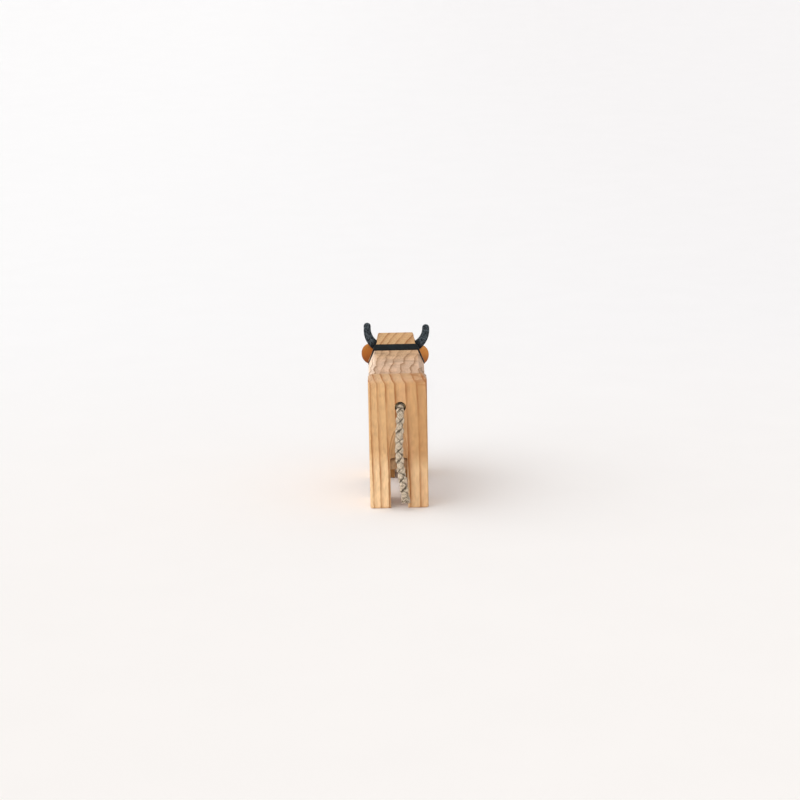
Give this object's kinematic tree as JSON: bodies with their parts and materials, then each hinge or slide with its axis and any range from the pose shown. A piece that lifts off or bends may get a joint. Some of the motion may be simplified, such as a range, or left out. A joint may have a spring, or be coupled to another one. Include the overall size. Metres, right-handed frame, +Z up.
{
  "type": "cow figurine",
  "caption": "Standing wooden cow figurine sawn from thick board, with leather strap, horns and ears and a braided cord tail that swings from a drilled hole.",
  "frame": {"origin": "on the floor, under the middle of the body's length and width", "axes": "+Z up, +Y towards the head, +X to the cow's right as seen from behind"},
  "size_m": [0.0374, 0.1118, 0.085],
  "materials": {
    "wood": "sanded softwood, unpainted, with strong growth rings",
    "strap_leather": "smooth black leather",
    "horn_leather": "charcoal suede with pale flecks",
    "ear_leather": "tan leather, smooth side out",
    "eye_black": "black stained, satin",
    "cord_flax": "natural flax, braided, frayed at its end",
    "glue": "set wood glue"
  },
  "bodies": {
    "figure": {"body": "wood", "nape_strap": "strap_leather", "horn_left": "horn_leather", "horn_right": "horn_leather", "ear_left": "ear_leather", "ear_right": "ear_leather", "eye_left": "eye_black", "eye_right": "eye_black", "tail_glue_plug": "glue"},
    "tail": {"tail_rope": "cord_flax"}
  },
  "joints": [
    {"name": "tail_swing", "type": "hinge", "parent": "figure", "child": "tail", "pos_m": [0.00125, -0.05297, 0.05305], "axis": [0, 1, 0], "range_deg": [-60, 60]}
  ]
}
